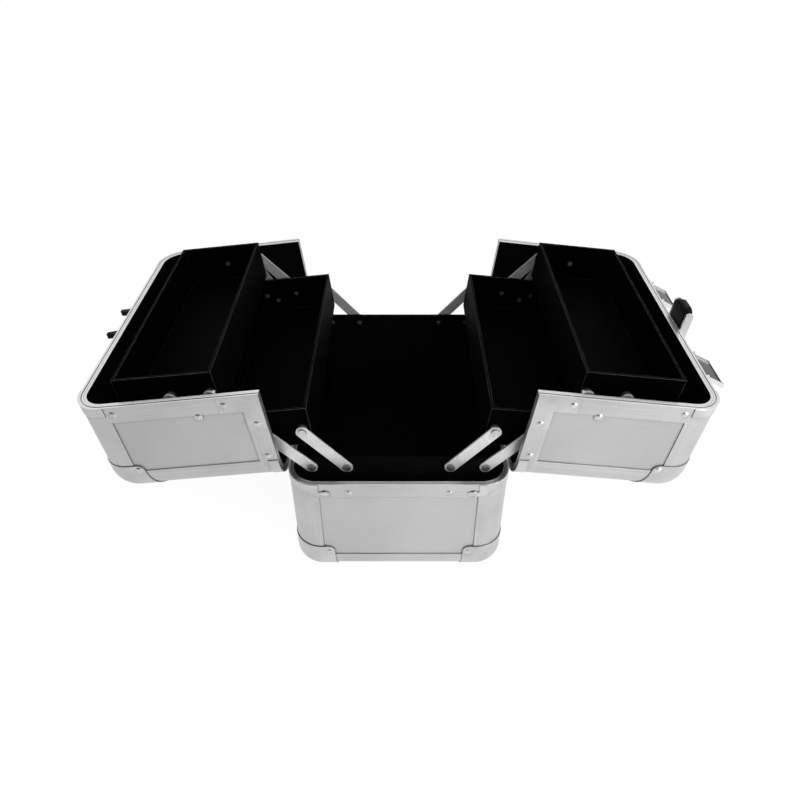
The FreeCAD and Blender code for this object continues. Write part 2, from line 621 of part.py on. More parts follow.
def tray_rivets(hand, side):
    half = size("tray_length") / 2
    wall = size("tray_wall")
    plain = shoulder_rivet(half, wall, bar_near(), size("arm_thick"), size("shoulder"))
    tall = shoulder_rivet(half, wall, size("link_layer"), size("arm_thick"), size("tall_shoulder"))
    lower = []
    for kind, pivot in lower_pivots().items():
        lower += both_ends(tall if kind == "link" else plain, side * pivot.x, pivot.z)
    upper = []
    for pivot in upper_pivots().values():
        upper += both_ends(plain, side * pivot.x, pivot.z)
    node(hand + "_lower_tray_rivets", [feature("tray_rivet", s) for s in lower], tray_pose(side, 1))
    node(hand + "_upper_tray_rivets", [feature("tray_rivet", s) for s in upper], tray_pose(side, 2))


def base_pivot_rivets():
    face = size("tray_length") / 2 + size("board")
    near = 2 * size("bar_air")
    piece = shoulder_rivet(face, size("board"), near, size("arm_thick"), size("shoulder"))
    rivets = []
    for side in SIDES.values():
        for foot in (size("arm_foot_x"), size("short_foot_x")):
            rivets += both_ends(piece, -side * foot, size("arm_foot_z"))
    node("base_pivot_rivets", [feature("pivot_rivet", s) for s in rivets])


def bar(name, length, holes, near):
    """Flat bar with round ends at both ends of the case, drawn along +X from its first hole."""
    half = "Sizes.arm_wide / 2"
    bars = []
    for end in ENDS:
        y = "Sizes.tray_length / 2 + %s" % near if end == 1 else \
            "-Sizes.tray_length / 2 - (%s) - Sizes.arm_thick" % near
        pieces = [bound_box("bar_web", (length, "Sizes.arm_thick", "Sizes.arm_wide"), ("0", y, "-" + half))]
        for x in ("0", length):
            pieces.append(bound_cylinder("bar_end", half, "Sizes.arm_thick", (x, y, "0")))
        blank = fuse(name + "_blank", pieces)
        for x, radius in holes:
            hole = bound_cylinder("bar_hole", radius, "Sizes.arm_thick + 2 * Sizes.drill_over",
                                  (x, y + " - Sizes.drill_over", "0"))
            blank = cut(name + "_drilled", blank, hole)
        bars.append(blank)
    return bars


def bar_pose(foot, head, side):
    along = V((head.x - foot.x) * side, 0, head.z - foot.z)
    return FreeCAD.Placement(V(foot.x * side, 0, foot.z), FreeCAD.Rotation(V(1, 0, 0), along))


def tray_point(pivot, steps):
    return tray_pose(1, steps).multVec(pivot)


def link_bars(hand, side):
    snug = "Sizes.shank + Sizes.shank_slack"
    near = "Sizes.board + 2 * Sizes.bar_air"
    foot = arm_tip(0)
    pitch = "Sizes.arm_pitch"
    long_bars = bar("long_arm", "2 * " + pitch, [("0", snug), (pitch, snug), ("2 * " + pitch, snug)], near)
    node(hand + "_long_arms", long_bars, bar_pose(foot, arm_tip(2), side))
    short_foot = V(-size("short_foot_x"), 0, size("arm_foot_z"))
    short_head = tray_point(lower_pivots()["short"], 1)
    loose = snug + " + Sizes.open_slack_short"
    short_bars = bar("short_arm", "Sizes.short_length", [("0", snug), ("Sizes.short_length", loose)], near)
    node(hand + "_short_arms", short_bars, bar_pose(short_foot, short_head, side))
    upper_foot = tray_point(lower_pivots()["upper"], 1)
    upper_head = tray_point(upper_pivots()["upper"], 2)
    upper_bars = bar("upper_arm", pitch, [("0", snug), (pitch, snug)], near)
    node(hand + "_upper_arms", upper_bars, bar_pose(upper_foot, upper_head, side))
    lid_end = V(-size("link_lid_x"), 0, size("link_lid_z"))
    tray_end = tray_point(lower_pivots()["link"], 1)
    loose = snug + " + Sizes.open_slack_link"
    links = bar("lid_link", "Sizes.link_length", [("0", snug), ("Sizes.link_length", loose)],
                "Sizes.link_layer")
    node(hand + "_lid_links", links, bar_pose(lid_end, tray_end, side))


# Visible rivets of the base and the lids

def base_face_rivets():
    rivets = []
    edge = size("rivet_edge")
    low = BASE_TOP - size("strip_rivet_drop")
    high = GROUND + size("cap_rivet_up")
    for end in ENDS:
        out = V(0, end, 0)
        tab = end * (HALF_L + size("bracket_skin"))
        cap = end * (HALF_L + size("cap_skin"))
        for hand in ENDS:
            tab_x = hand * (HALF_W - size("bracket_tab") + edge)
            cap_x = hand * (HALF_W - size("cap_shoulder") + edge)
            rivets += face_rivets([V(hand * size("strip_rivet_x"), end * HALF_L, low)], out)
            rivets += face_rivets([V(tab_x, tab, low)], out, "tab_rivet")
            rivets += face_rivets([V(cap_x, cap, high)], out)
    node("base_rivets", [feature("base_rivet", s) for s in rivets])


def lid_rivets(hand, side):
    rivets = []
    edge = size("rivet_edge")
    inset = size("lid_rivet_inset")
    far = size("plate_leg") - edge
    seam_line, low_line = -SEAM - STRIP / 2, LID_LOW + STRIP / 2
    cap_x = -HALF_W + size("cap_height") - edge
    cap_z = LID_TOP - size("cap_shoulder") + edge
    for end in ENDS:
        out = V(0, end, 0)
        plate = end * (HALF_L + size("bracket_skin"))
        strip = end * HALF_L
        cap = end * (HALF_L + size("cap_skin"))
        rivets += face_rivets([V(-SEAM - far, plate, low_line), V(seam_line, plate, LID_LOW + far)], out)
        spots = [V(-HALF_W + inset, strip, low_line), V(seam_line, strip, LID_TOP - inset)]
        rivets += face_rivets(spots, out)
        rivets += face_rivets([V(cap_x, cap, cap_z)], out)
    rivets = [mirrored(s, side) for s in rivets]
    local = lid_pose(1).inverse().multVec(V(-size("link_lid_x"), 0, size("link_lid_z")))
    rivets += both_ends(link_post(), side * local.x, local.z)
    node(hand + "_lid_rivets", [feature("lid_rivet", s) for s in rivets], lid_pose(side))


def link_post():
    """Shouldered post through a lid's end wall that carries the lid link, drawn at the back end."""
    air = size("bar_air")
    near = size("tray_length") / 2 + size("link_layer") - air
    far = near + size("arm_thick") + 2 * air
    post = rivet([(size("inner_head"), near - size("head_high") / 2, near), (size("shank"), near, HALF_L),
                  (size("shoulder"), far, HALF_L - INSIDE)], V())
    return post.fuse(domed_head(V(0, HALF_L, 0), V(0, 1, 0), size("head"), size("head_high")))


# Latches and handle on the top of the right lid, keepers on the left lid

def flap_axis():
    return V(SEAM + size("latch_inset") + size("flap_axis_in"), 0, LID_TOP + size("flap_axis_up"))


def latches():
    half = size("latch_width") / 2
    room = half - size("cheek")
    start = SEAM + size("latch_inset")
    top = LID_TOP + size("latch_plate")
    axis = flap_axis()
    reach = size("cheek_half")
    plates = []
    for end in ENDS:
        y = end * size("latch_offset")
        plate = block(start, start + size("latch_long"), y - half, y + half, LID_TOP, top)
        cheeks = block(axis.x - reach, axis.x + reach, y - half, y + half, top, axis.z + size("cheek_over"))
        cheeks = cheeks.cut(block(-BIG, BIG, y - room, y + room, top, BIG))
        body = plate.fuse(cheeks).cut(across(y, half, size("flap_bore"), axis.x, axis.z))
        plates.append(body.removeSplitter())
    node("latch_plates", [feature("latch_plate_body", s) for s in plates], lid_pose(-1))
    for end, word in zip(ENDS, ("front", "back")):
        latch_flap(word, end * size("latch_offset"))


def latch_flap(word, y):
    """Pressed flap with turned-in sides and a curled tip, drawn upright and then leant back."""
    room = size("latch_width") / 2 - size("cheek")
    half = room - size("flap_air")
    axis = flap_axis()
    outer = axis.x + size("flap_thick") / 2
    tip = axis.z + size("flap_long")
    pieces = [across(y, room + size("cheek") - size("flap_air"), size("flap_pin"), axis.x, axis.z),
              block(outer - size("flap_thick"), outer, y - half, y + half, axis.z, tip),
              across(y, half, size("curl_radius"), axis.x, tip)]
    for hand in ENDS:
        middle = y + hand * (half - size("flap_side") / 2)
        pieces.append(block(outer - size("flap_side_deep"), outer, middle - size("flap_side") / 2,
                            middle + size("flap_side") / 2, axis.z, tip))
    flap = across(y, half, size("barrel_radius"), axis.x, axis.z).multiFuse(pieces).removeSplitter()
    flap.rotate(axis, V(0, 1, 0), size("flap_rest"))
    node("%s_latch_flap" % word, [feature("flap_body", flap)], lid_pose(-1))


def keepers():
    wide = size("keeper_wide") / 2
    narrow = size("stud_wide") / 2
    start = -SEAM - size("keeper_inset")
    stud = -SEAM - size("stud_inset")
    foot_top = LID_TOP + size("keeper_foot")
    bodies = []
    for end in ENDS:
        y = end * size("latch_offset")
        foot = block(start - size("keeper_long"), start, y - wide, y + wide, LID_TOP, foot_top)
        block_up = block(stud - size("stud_long"), stud, y - narrow, y + narrow, LID_TOP,
                         LID_TOP + size("stud_high"))
        bodies.append(foot.fuse(block_up).removeSplitter())
    node("latch_keepers", [feature("latch_keeper", s) for s in bodies], lid_pose(1))


def handle_axis():
    return V(SEAM + size("handle_inset"), 0, LID_TOP + size("handle_axis_up"))


def handle_ears():
    axis = handle_axis()
    thick = size("ear_thick")
    half = size("ear_long") / 2
    high = LID_TOP + size("ear_high")
    ears = []
    for end in ENDS:
        y = end * (size("grip_long") / 2 + size("side_plate") + size("handle_air") + thick / 2)
        ear = block(axis.x - half, axis.x + half, y - thick / 2, y + thick / 2, LID_TOP, high)
        crown = [edge for edge in ear.Edges if abs(edge.CenterOfMass.z - high) < NEAR
                 and abs(edge.CenterOfMass.x - axis.x) > 1]
        ear = ear.makeFillet(size("ear_high") / 2, crown)
        ears.append(ear.cut(across(y, thick, size("handle_pin") + size("shank_slack"), axis.x, axis.z)))
    node("handle_ears", [feature("handle_ear", s) for s in ears], lid_pose(-1))


def carry_handle():
    axis = handle_axis()
    half = size("grip_long") / 2
    flat = size("grip_thick") / 2
    far = axis.x - size("grip_far")
    grip = block(far, axis.x - size("grip_near"), -half, half, axis.z - flat, axis.z + flat)
    corners = [edge for edge in grip.Edges if edge.BoundBox.ZLength > flat and edge.BoundBox.XMax < far + 1]
    grip = grip.makeFillet(size("grip_corner"), corners)
    rims = [edge for edge in grip.Edges if edge.BoundBox.ZLength < TOUCH]
    node("carry_handle", [feature("handle_grip", grip.makeFillet(size("grip_round"), rims))], lid_pose(-1))
    plates = []
    wide = size("side_plate_wide") / 2
    thick = size("side_plate") / 2
    for end in ENDS:
        y = end * (half + thick)
        reach = axis.x - size("side_plate_far") + wide
        web = block(reach, axis.x, y - thick, y + thick, axis.z - wide, axis.z + wide)
        stub = across(y + end * (thick + size("stub_long") / 2), size("stub_long") / 2, size("handle_pin"),
                      axis.x, axis.z)
        ends = [across(y, thick, wide, x, axis.z) for x in (reach, axis.x)]
        plates.append(web.multiFuse(ends + [stub]).removeSplitter())
    node("handle_side_plates", [feature("handle_side_plate", s) for s in plates], lid_pose(-1))


def handle_catch():
    """Moulded catch on the left lid with a leaning horn at each end."""
    half = size("catch_long") / 2
    start = -SEAM - size("catch_inset")
    far = start - size("catch_wide")
    middle = (start + far) / 2
    lean = size("horn_lean")
    body = block(far, start, -half, half, LID_TOP, LID_TOP + size("catch_high"))
    low, high = LID_TOP + size("catch_high"), LID_TOP + size("horn_high")
    for end in ENDS:
        inner = end * (half - size("horn_long"))
        outline = [V(middle, inner, low), V(middle, end * half, low), V(middle, end * half, high),
                   V(middle, inner + end * lean, high)]
        face = Part.Face(Part.makePolygon(outline + outline[:1]))
        body = body.fuse(face.extrude(V(start - middle, 0, 0)))
    node("handle_catch", [feature("catch_body", body.removeSplitter())], lid_pose(1))


def export_nodes():
    doc.recompute()
    for piece in doc.Objects:
        bad = [word for word in piece.State if word in ("Invalid", "Error")]
        if bad:
            raise RuntimeError("%s is %s" % (piece.Name, bad))
    os.makedirs("parts", exist_ok=True)
    for piece in nodes:
        shape = piece.Shape
        if shape.isNull() or not shape.isValid() or not shape.Solids:
            raise RuntimeError("%s has no valid solid" % piece.Label)
        shape.exportStep("parts/%s.step" % piece.Label)
        print(piece.Label, len(shape.Solids), round(shape.Volume))


base_boards()
base_metalwork()
base_lining()
pivot_boards()
base_pivot_rivets()
base_face_rivets()
for hand, side in SIDES.items():
    lid_boards(hand, side)
    lid_metalwork(hand, side)
    lid_lining(hand, side)
    lid_rivets(hand, side)
    hinges(hand, side)
    tray(hand + "_lower_tray", side, 1, "Sizes.lower_inner", "Sizes.lower_top", lower_pivots())
    tray(hand + "_upper_tray", side, 2, "Sizes.upper_inner", "Sizes.upper_top", upper_pivots())
    tray_rivets(hand, side)
    link_bars(hand, side)
latches()
keepers()
handle_ears()
carry_handle()
handle_catch()
export_nodes()
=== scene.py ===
import json
import math

import bmesh
import bpy
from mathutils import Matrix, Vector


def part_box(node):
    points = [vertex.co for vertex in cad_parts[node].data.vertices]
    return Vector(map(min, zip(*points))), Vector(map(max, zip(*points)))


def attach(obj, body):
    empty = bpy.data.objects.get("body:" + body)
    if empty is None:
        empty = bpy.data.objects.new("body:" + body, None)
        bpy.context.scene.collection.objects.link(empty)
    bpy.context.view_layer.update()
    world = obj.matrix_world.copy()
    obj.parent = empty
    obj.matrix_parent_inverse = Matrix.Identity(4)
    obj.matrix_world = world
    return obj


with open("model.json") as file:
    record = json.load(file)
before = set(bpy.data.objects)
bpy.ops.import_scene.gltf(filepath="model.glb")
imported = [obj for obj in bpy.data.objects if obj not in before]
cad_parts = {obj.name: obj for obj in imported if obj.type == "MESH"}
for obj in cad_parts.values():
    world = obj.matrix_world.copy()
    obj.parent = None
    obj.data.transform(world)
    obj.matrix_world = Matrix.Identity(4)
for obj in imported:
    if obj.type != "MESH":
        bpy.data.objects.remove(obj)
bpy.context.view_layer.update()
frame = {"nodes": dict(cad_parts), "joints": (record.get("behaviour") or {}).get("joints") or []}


# Wall boards of the base and of both lid halves: thin fibre board under a silver plastic laminate.
# The sheets slide into the metal profiles, and the laminate has a very fine pearl grain.

BOARD_TONES = (0.15, 0.15, 0.151), (0.52, 0.52, 0.522)
PEARL_GRAIN, PEARL_DEEP = 2600, 0.00004
CLOUD_GRAIN = 9
RUB_STREAKS = (60, 60, 900)
# Reach of the painted shade in the corners of the boards.
board_shade_reach = 0.003


class Wire:
    """A socket of a node tree that can be used in sums. Without a socket it only makes nodes."""

    NOISE_ROUGHNESS = 0.55
    ROUNDING_SAMPLES, CREVICE_SAMPLES = 4, 6
    EDGE_LEAN, UPWARD_LEAN, SHUT_IN = (0.01, 0.2), (0.3, 0.75), (0.12, 0.6)

    def __init__(self, tree, socket=None):
        self.tree = tree
        self.socket = socket

    def make(self, kind, settings=None, sockets=None, out=0):
        made = self.tree.nodes.new(kind)
        for name, value in (settings or {}).items():
            if name == "stops":
                for stop, (position, colour) in zip(made.color_ramp.elements, value):
                    stop.position = position
                    stop.color = colour
            else:
                setattr(made, name, value)
        for name, value in (sockets or {}).items():
            if isinstance(value, Wire):
                self.tree.links.new(value.socket, made.inputs[name])
            else:
                made.inputs[name].default_value = value
        return Wire(self.tree, made.outputs[out])

    def reckon(self, operation, *terms):
        return self.make("ShaderNodeMath", {"operation": operation}, dict(enumerate(terms)))

    def __add__(self, other):
        return self.reckon("ADD", self, other)

    __radd__ = __add__

    def __mul__(self, other):
        return self.reckon("MULTIPLY", self, other)

    __rmul__ = __mul__

    def __sub__(self, other):
        return self.reckon("SUBTRACT", self, other)

    def __rsub__(self, other):
        return self.reckon("SUBTRACT", other, self)

    def __abs__(self):
        return self.reckon("ABSOLUTE", self)

    def above(self, limit):
        return self.reckon("GREATER_THAN", self, limit)

    def below(self, limit):
        return self.reckon("LESS_THAN", self, limit)

    def larger(self, other):
        return self.reckon("MAXIMUM", self, other)

    def axis(self, letter):
        return self.make("ShaderNodeSeparateXYZ", {}, {"Vector": self}, letter)

    def noise(self, scale, detail):
        return self.make("ShaderNodeTexNoise", {}, {"Vector": self, "Scale": scale, "Detail": detail,
                                                    "Roughness": self.NOISE_ROUGHNESS}, "Fac")

    def stretched(self, scale):
        return self.make("ShaderNodeMapping", {}, {"Vector": self, "Scale": scale}, "Vector")

    def band(self, low, high, start=0.0, end=1.0):
        ends = {"From Min": low, "From Max": high, "To Min": start, "To Max": end}
        return self.make("ShaderNodeMapRange", {"clamp": True}, {"Value": self, **ends}, "Result")

    def between(self, dark, light):
        return self.make("ShaderNodeValToRGB", {"stops": [(0.0, (*dark, 1)), (1.0, (*light, 1))]},
                         {"Fac": self}, "Color")

    def face(self):
        return self.make("ShaderNodeNewGeometry", {}, {}, "Normal")

    def rounded(self, radius):
        return self.make("ShaderNodeBevel", {"samples": self.ROUNDING_SAMPLES}, {"Radius": radius}, "Normal")

    # Mask of rounded edges, from the bevelled normal; used to paint highlights on edges.
    def edge(self, rounded):
        along = self.make("ShaderNodeVectorMath", {"operation": "DOT_PRODUCT"}, {0: rounded, 1: self.face()},
                          "Value")
        return (1 - along).band(*self.EDGE_LEAN)

    # Mask of faces turned upward; used to paint the tops lighter and make them smoother.
    def facing_up(self, normal):
        own = self.make("ShaderNodeVectorTransform", {"vector_type": "NORMAL"}, {"Vector": normal}, "Vector")
        return own.axis("Z").band(*self.UPWARD_LEAN)

    # Mask of how shut in a spot is, from ambient occlusion; used to paint shade into crevices and to keep
    # painted highlights out of them.
    def crevice(self, reach):
        open_sky = self.make("ShaderNodeAmbientOcclusion", {"samples": self.CREVICE_SAMPLES},
                             {"Distance": reach}, "AO")
        return (1 - open_sky).band(*self.SHUT_IN)

    def bump(self, height, deep, strength, over=None):
        sockets = {"Height": height, "Distance": deep, "Strength": strength}
        if over is not None:
            sockets["Normal"] = over
        return self.make("ShaderNodeBump", {}, sockets, "Normal")

    def into(self, node, name):
        self.tree.links.new(self.socket, node.inputs[name])


def new_finish(name, **constants):
    material = bpy.data.materials.new(name)
    material.use_nodes = True
    shader = material.node_tree.nodes["Principled BSDF"]
    for socket, value in constants.items():
        shader.inputs[socket.replace("_", " ")].default_value = value
    place = Wire(material.node_tree).make("ShaderNodeTexCoord", out="Object")
    return material, shader, place


def dress(material, *names):
    for name in names:
        for holder in frame["nodes"][name].material_slots:
            holder.material = material


laminate, shader, place = new_finish("silver_laminate", Metallic=0.2, IOR=1.45)
pearl = place.noise(PEARL_GRAIN, 2)
cloud = place.noise(CLOUD_GRAIN, 4)
rub = place.stretched(RUB_STREAKS).noise(1, 3)
# Painted shade: the laminate is painted darker where it is shut in beside the profiles and in corners.
crevice_shade = place.crevice(board_shade_reach)
shade = pearl * 0.25 + cloud * 0.3 + rub * 0.15 + 0.15 - crevice_shade * 0.55
shade.band(0.0, 0.7).between(*BOARD_TONES).into(shader, "Base Color")
(cloud * 0.16 + pearl * 0.12 + 0.28 + crevice_shade * 0.2).into(shader, "Roughness")
place.bump(pearl, PEARL_DEEP, 0.5).into(shader, "Normal")
dress(laminate, "base_panels", "base_floor_panel", "left_lid_panels", "right_lid_panels")


# Edge profiles: satin aluminium extrusions that join the boards. Posts with a large radius stand at the
# corners, rails run along the edges, and a stepped rim runs round each open mouth. The drawing marks of a
# lid's profiles are laid out as if the lid were shut, so that they follow the edges of the case.

SIDES = {"left": -1, "right": 1}
PROFILE_TONES = (0.17, 0.17, 0.171), (0.87, 0.87, 0.872)
UPRIGHT, LENGTHWISE = (800, 800, 5), (5, 5, 800)
DRAWN_DEEP = 0.00002
HAZE_GRAIN = 14
# The second number is the reach of the painted shade in the seams, also used by the caps.
profile_rounding, seam_shade_reach = 0.0005, 0.0022
base_right, base_back, base_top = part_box("base_rim")[1]
lid_hinge = next(joint for joint in frame["joints"] if joint["name"] == "right_lid_hinge")
hinge_x, _, hinge_z = lid_hinge["pos_m"]
lid_angle = math.radians(lid_hinge["range_deg"][1])
seam_gap, lid_rise = 0.0006, 0.1864
lid_low = base_top + seam_gap
strip_width, crown_width = 0.019, 0.036


def shut_place(place, side):
    out = place.axis("X") * side - hinge_x
    rise = place.axis("Z") - hinge_z
    across = out * math.cos(lid_angle) - rise * math.sin(lid_angle) + hinge_x
    height = out * math.sin(lid_angle) + rise * math.cos(lid_angle) + hinge_z
    shut = {"X": across, "Y": place.axis("Y"), "Z": height}
    return place.make("ShaderNodeCombineXYZ", {}, shut, "Vector"), height


def lid_grain(place, side):
    shut, height = shut_place(place, side)
    along_edges = height.above(lid_low + lid_rise - crown_width) + height.below(lid_low + strip_width)
    upright = shut.stretched(UPRIGHT).noise(1, 2)
    level = shut.stretched(LENGTHWISE).noise(1, 2)
    return upright * (1 - along_edges) + level * along_edges


def drawn_profile(name, draw):
    satin, shader, place = new_finish(name, Metallic=1.0)
    round_edge = place.rounded(profile_rounding)
    drawn = draw(place)
    haze = place.noise(HAZE_GRAIN, 3)
    # Painted highlight: rounded edges are painted lighter.
    edge_highlight = place.edge(round_edge)
    # Painted shade: darker where the profile is shut in.
    crevice_shade = place.crevice(seam_shade_reach)
    # Painted highlight: upward faces are painted lighter; they are also a little smoother.
    top_polish_and_highlight = place.facing_up(place.face())
    tone = drawn * 0.22 + haze * 0.3 + edge_highlight * 0.3 + top_polish_and_highlight * 0.2 - crevice_shade * 0.55
    tone.band(-0.2, 0.62).between(*PROFILE_TONES).into(shader, "Base Color")
    (haze * 0.1 + drawn * 0.06 + 0.33 - edge_highlight * 0.1 - top_polish_and_highlight * 0.06).into(shader, "Roughness")
    place.bump(drawn, DRAWN_DEEP, 0.3, round_edge).into(shader, "Normal")
    return satin


base_posts = drawn_profile("satin_aluminium_posts", lambda place: place.stretched(UPRIGHT).noise(1, 2))
base_rails = drawn_profile("satin_aluminium_rails", lambda place: place.stretched(LENGTHWISE).noise(1, 2))
dress(base_posts, "base_corner_posts")
dress(base_rails, "base_bottom_rails", "base_rim")
for hand, side in SIDES.items():
    lid_profile = drawn_profile("satin_aluminium_" + hand + "_lid", lambda place: lid_grain(place, side))
    dress(lid_profile, hand + "_lid_edge_rails", hand + "_lid_rim")


# Inner lips of the lid rims: at both open sides of each lid the profile is folded inward over the cut edge
# of the lining. A narrow dark groove parts this lip from the outer bead. Each point of the lip's section is
# its distance in from the outer face and its depth below the plane of the mouth.

post_radius, crown_radius = 0.031, 0.030
lip_face, lip_skirt = 0.00005, 0.00038
LIP_SECTION = [(0.00525, lip_skirt), (0.00535, 0.00008), (0.0057, lip_face),
               (0.0074, lip_face), (0.0079, 0.00016), (0.0080, lip_skirt)]
ARC_STEPS = 12
sharp_bend = math.radians(35)


def corner_arc(across, along, radius, start):
    turns = [start + math.pi / 2 * step / ARC_STEPS for step in range(ARC_STEPS + 1)]
    return [(across + radius * math.cos(turn), along + radius * math.sin(turn)) for turn in turns]


def open_run(inset, rise, radius, start):
    bend = base_back - radius
    right = corner_arc(bend, rise - radius, radius - inset, 0)
    left = corner_arc(-bend, rise - radius, radius - inset, math.pi / 2)
    return [(base_back - inset, start)] + right + left + [(inset - base_back, start)]


def opened(x, y, z, side):
    out, up = x - hinge_x, z - hinge_z
    turned = hinge_x + out * math.cos(lid_angle) + up * math.sin(lid_angle)
    return side * turned, y, hinge_z - out * math.sin(lid_angle) + up * math.cos(lid_angle)


def swept(rows):
    count, width = len(rows[0]), len(rows)
    points = [row[step] for step in range(count) for row in rows]
    faces = [(step * width + edge, step * width + (edge + 1) % width,
              (step + 1) * width + (edge + 1) % width, (step + 1) * width + edge)
             for step in range(count - 1) for edge in range(width)]
    ends = [range(width), range((count - 1) * width, count * width)]
    return points, faces + [tuple(end) for end in ends]


def rim_lip(name, body, runs):
    points, faces = [], []
    for run_points, run_faces in runs:
        faces += [tuple(len(points) + corner for corner in face) for face in run_faces]
        points += run_points
    mesh = bpy.data.meshes.new(name)
    mesh.from_pydata(points, [], faces)
    solid = bmesh.new()
    solid.from_mesh(mesh)
    bmesh.ops.recalc_face_normals(solid, faces=solid.faces)
    solid.to_mesh(mesh)
    solid.free()
    mesh.shade_smooth()
    mesh.set_sharp_from_angle(angle=sharp_bend)
    mesh.materials.append(base_rails)
    piece = bpy.data.objects.new(name, mesh)
    bpy.context.collection.objects.link(piece)
    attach(piece, body)


lid_reach = base_right - seam_gap / 2
for hand, side in SIDES.items():
    seam_rows = [[opened(seam_gap / 2 + depth, y, lid_low + up, side)
                  for y, up in open_run(inset, lid_rise, crown_radius, lip_face)]
                 for inset, depth in LIP_SECTION]
    low_rows = [[opened(seam_gap / 2 + out, y, lid_low + depth, side)
                 for y, out in open_run(inset, lid_reach, post_radius, 2 * lip_skirt)]
                for inset, depth in LIP_SECTION]
    rim_lip(hand + "_lid_rim_lip", hand + "_lid", [swept(seam_rows), swept(low_rows)])


# Corner caps and corner plates: thin pressed steel with a satin nickel plating, a little brighter than
# the profiles. They wrap the corners over the profiles, and shade is painted dark along their cut edges.

NICKEL_TONES = (0.14, 0.14, 0.141), (0.86, 0.86, 0.858)
SMEAR_GRAIN = 26
PIT_GRAIN, PIT_DEEP = 1500, 0.00003
cap_rounding = 0.0007

nickel, shader, place = new_finish("satin_nickel", Metallic=1.0)
round_edge = place.rounded(cap_rounding)
smear = place.noise(SMEAR_GRAIN, 4)
pit = place.noise(PIT_GRAIN, 2)
crevice_shade = place.crevice(seam_shade_reach)
# Painted shade: darker along the cut edges, where the caps are shut in.
tone = smear * 0.6 + pit * 0.15 - crevice_shade * 0.6
tone.band(-0.2, 0.72).between(*NICKEL_TONES).into(shader, "Base Color")
(smear * 0.12 + pit * 0.05 + 0.29).into(shader, "Roughness")
place.bump(pit, PIT_DEEP, 0.3, round_edge).into(shader, "Normal")
dress(nickel, "base_corner_caps", "left_lid_corner_plates", "left_lid_corner_caps",
      "right_lid_corner_plates", "right_lid_corner_caps")


# Rim corners: small pressed corners clipped over the rim where it turns. Their faces are satin nickel, and
# the rolled top bead is polished chrome that mirrors the room in black and white streaks. Its upward face is
# also painted lighter as a highlight, and shade is painted dark in the crevices round the corners.

# The second number is the reach of the painted shade in the crevices.
bead_radius, bead_shade_reach, bead_pits = 0.0022, 0.002, 0.00002

bead, shader, place = new_finish("beaded_nickel", Metallic=1.0)
round_edge = place.rounded(bead_radius)
smear = place.noise(SMEAR_GRAIN, 4)
pit = place.noise(PIT_GRAIN, 2)
crevice_shade = place.crevice(bead_shade_reach)
top_polish_and_highlight = place.facing_up(round_edge)
# Painted highlight on the upward face of the bead, and painted shade in the crevices.
tone = smear * 0.6 + pit * 0.15 + top_polish_and_highlight * 0.3 - crevice_shade * 0.6
tone.band(-0.2, 0.72).between(*NICKEL_TONES).into(shader, "Base Color")
((smear * 0.12 + pit * 0.05 + 0.27) * (1 - top_polish_and_highlight * 0.88)).into(shader, "Roughness")
place.bump(pit, bead_pits, 0.2, round_edge).into(shader, "Normal")
dress(bead, "base_rim_corners", "left_lid_rim_corners", "right_lid_rim_corners")


# Rivets: domed heads of plated steel that hold the trim and carry the link bars. The riveting tool has
# hammered the plating, and a dark ring of painted shade lies round each head, where it meets the plate.

RIVET_TONES = (0.03, 0.03, 0.031), (0.7, 0.7, 0.7)
HAMMER_GRAIN, HAMMER_DEEP = 420, 0.0003
RIVET_STAIN = 90
# Reach of the painted shade round each head.
ring_shade_reach = 0.0028

rivet_steel, shader, place = new_finish("rivet_steel", Metallic=0.93)
hammer = place.noise(HAMMER_GRAIN, 3)
stain = place.noise(RIVET_STAIN, 3)
ring_shade = place.crevice(ring_shade_reach)
# Painted shade: a dark ring round each head.
tone = hammer * 0.4 + stain * 0.4 - ring_shade * 1.1
tone.band(-0.2, 0.55).between(*RIVET_TONES).into(shader, "Base Color")
(hammer * 0.14 + stain * 0.08 + 0.06).into(shader, "Roughness")
place.bump(hammer, HAMMER_DEEP, 0.5).into(shader, "Normal")
dress(rivet_steel, "base_rivets", "base_pivot_rivets")
for hand in SIDES:
    dress(rivet_steel, hand + "_lid_rivets", hand + "_lower_tray_rivets", hand + "_upper_tray_rivets")


# Lining of the base and the lids, and the two boards that carry the link bars: black flocked cloth
# glued over card. It swallows nearly all the light.

FLOCK_TONES = (0.0006, 0.0006, 0.0007), (0.0032, 0.0032, 0.0034)
FIBRE_GRAIN, FIBRE_DEEP = 3200, 0.0002
NAP_GRAIN = 60

flock, shader, place = new_finish("black_flock", Specular_IOR_Level=0.03)
fibre = place.noise(FIBRE_GRAIN, 2)
nap = place.noise(NAP_GRAIN, 4)
(fibre * 0.6 + nap * 0.4).band(0.3, 0.7).between(*FLOCK_TONES).into(shader, "Base Color")
(nap * 0.1 + 0.86).into(shader, "Roughness")
place.bump(fibre, FIBRE_DEEP, 0.6).into(shader, "Normal")
dress(flock, "base_lining", "pivot_boards", "left_lid_lining", "right_lid_lining")


# Trays: boxes of thin board covered inside and outside with black grained leatherette. The cover is
# turned over the top edges, which are painted lighter in patches as a highlight, but not in the inner
# corners.

HIDE_TONES = (0.0003, 0.0003, 0.0003), (0.34, 0.34, 0.342)
CREASE_GRAIN, CREASE_DEEP = 900, 0.00012
HANDLED_GRAIN = 22
tray_rounding, tray_corner = 0.0003, 0.004

leatherette, shader, place = new_finish("black_leatherette", Specular_IOR_Level=0.02)
round_edge = place.rounded(tray_rounding)
pebble = place.make("ShaderNodeTexVoronoi", {"feature": "DISTANCE_TO_EDGE"},
                    {"Vector": place, "Scale": CREASE_GRAIN}, "Distance")
crease = pebble.band(0.0, 0.25)
handled = place.noise(HANDLED_GRAIN, 4)
